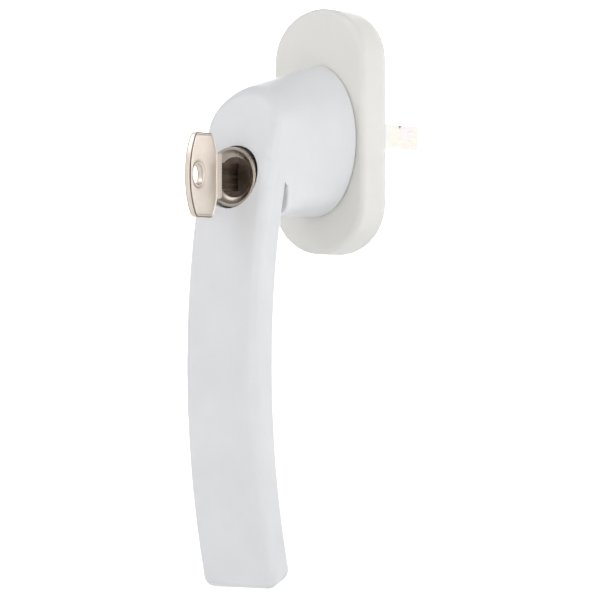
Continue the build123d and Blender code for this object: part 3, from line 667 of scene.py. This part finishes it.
def hollowGrip(piece, look):
    # lock bore with its wider mouth, the bolt's channel and plate recess, and the grub screw's hole below
    start, steps = look["start"], look["steps"]
    bore = [(look["tailRadius"], start), (look["tailRadius"], look["barrelFloor"]),
            (look["barrelRadius"], look["barrelFloor"]), (look["barrelRadius"], look["boreFloor"]),
            (look["boreRadius"], look["boreFloor"]), (look["boreRadius"], look["mouth"])]
    cutters = [gridMesh("bore", turned(bore, lockAxis), poles=(True, True))]
    for halfWidth, top, bottom, end in (look["plate"], look["channel"]):
        cutters.append(prism(halfWidth, top, bottom, start, end, steps))
    radius, forward = look["grub"]
    across, along = squareRing(steps, 2)
    level = np.array([look["grubStart"], lockAxis[1]])[:, None]
    x = radius * across + 0 * level
    y = radius * along - forward + 0 * level
    points = np.stack([x, y, level + 0 * across], -1) * mm
    cutters.append(gridMesh("grub", points, poles=(True, True)))
    cutPiece(piece, cutters)


bossLook = {"inner": 7.6, "outer": 9.6, "start": 39.0, "end": 46.0, "margin": 0.5, "rows": 13}


def makeBoss(look):
    # the thick ring of metal round the lock, which fills the middle of the throat
    inner, outer, start, end, margin = (look[key] for key in ("inner", "outer", "start", "end", "margin"))
    profile = [(inner, start), (outer, start)]
    profile += [(outer, f) for f in np.linspace(start + margin, end - margin, look["rows"])]
    profile += [(outer, end), (inner, end)]
    points = turned(profile, lockAxis)
    return gridPiece("grip_lock_boss", points, whiteCoat, "grip", loop=(True, True))


spigotLook = {"radius": 6.2, "start": 0.3, "end": 15.6, "groove": (0.6, 1.4, 0.6), "hole": 3.52, "edge": 0.3}


def makeSpigot(look):
    # outside a turned stub with a ring groove, inside a square hole
    # the hole's reach is its half side over the larger of the ray's two components
    turn = np.linspace(0, 2 * np.pi, 160, endpoint=False)
    square = look["hole"] / np.maximum(abs(np.cos(turn)), abs(np.sin(turn)))
    r, start, edge = look["radius"], look["start"], look["edge"]
    low, high, depth = look["groove"]
    rows = [(square, f) for f in np.linspace(look["end"], start, 6)]
    rows += [(r - edge * 2, start), (r - edge * 0.6, start + edge * 0.3), (r, low), (r - depth, low + 0.001)]
    rows += [(r - depth, high - 0.001), (r, high)] + [(r, f) for f in np.linspace(high + 0.6, look["end"], 8)]
    reach = np.array([row[0] + 0 * turn for row in rows])
    forward = np.array([row[1] for row in rows])[:, None] + 0 * reach
    points = np.stack([reach * np.cos(turn), -forward, reach * np.sin(turn)], -1) * mm
    piece = gridPiece("grip_spigot", points, castZinc, "grip", loop=(True, True))
    piece.data.set_sharp_from_angle(angle=radians(32))


grip = makeGrip(gripLook)
hollowGrip(grip, hollowLook)
makeBoss(bossLook)
makeSpigot(spigotLook)
print("grip made:", len(grip.data.polygons), "faces")


makeKeyBow(bowLook)
makeKeyBlade(bladeLook)
makeKeyCollar(collarLook)
print("key made")


studio = {"aim": (-0.0096, -0.0061, -0.0477), "distance": 1.03, "lens": 216, "yaw": 36.5, "pitch": 0.987,
          "worldStrength": 0.4}


def placeCamera(look):
    # the camera stands back from its aim along its own line of sight
    turn = Euler((radians(90 + look["pitch"]), 0, radians(look["yaw"])))
    data = bpy.data.cameras.new("camera")
    data.lens = look["lens"]
    camera = bpy.data.objects.new("camera", data)
    camera.rotation_euler = turn
    camera.location = Vector(look["aim"]) - look["distance"] * (turn.to_matrix() @ Vector((0, 0, -1)))
    bpy.context.scene.collection.objects.link(camera)
    bpy.context.scene.camera = camera


def areaLight(name, place, aim, size, power):
    data = bpy.data.lights.new(name, "AREA")
    data.shape = "RECTANGLE"
    data.size, data.size_y = size
    data.energy = power
    light = bpy.data.objects.new(name, data)
    light.location = place
    light.rotation_euler = (Vector(aim) - Vector(place)).to_track_quat("-Z", "Y").to_euler()
    bpy.context.scene.collection.objects.link(light)


placeCamera(studio)
world = bpy.data.worlds.new("studioWorld")
world.use_nodes = True
world.node_tree.nodes["Background"].inputs[0].default_value = (1, 1, 1, 1)
world.node_tree.nodes["Background"].inputs[1].default_value = studio["worldStrength"]
bpy.context.scene.world = world
bpy.context.scene.view_settings.view_transform = "Standard"
lit = (0, -0.02, -0.05)
areaLight("keyLight", (-0.7, -1.0, 1.1), lit, (0.9, 0.9), 5.2)
areaLight("sideLight", (1.4, 0.1, 0.5), lit, (0.8, 1.2), 6)
areaLight("lowFill", (0.2, -1.2, -0.1), lit, (1.2, 0.5), 3)
areaLight("backdropLight", (-0.6, 0.9, 1.3), (-1.2, 2.4, 0.2), (2.0, 1.0), 70)

floorLook = {"drop": 0.03, "reach": 3.0, "step": 0.05, "flat": 1.4, "rise": 0.9}


def makeFloor(look):
    # a flat sheet whose far edges rise: height is the square of how far a point lies past the flat middle
    line = np.arange(-look["reach"], look["reach"] + look["step"], look["step"])
    x, y = np.meshgrid(line, line)
    past = np.maximum(np.hypot(x, y) - look["flat"], 0)
    points = np.stack([x, y, cadBox[0].z - look["drop"] + look["rise"] * past ** 2], -1)
    mesh = gridMesh("floor", points, loop=(False, False))
    floor = bpy.data.objects.new("floor", mesh)
    bpy.context.scene.collection.objects.link(floor)
    s = Shader("paleFloor")
    tint = s.ramp(s.noise(3.0), (0.3, (0.90, 0.90, 0.90)), (0.7, (0.93, 0.93, 0.93)))
    mesh.materials.append(s.finish(tint, 0.8))


makeFloor(floorLook)
print("studio made")
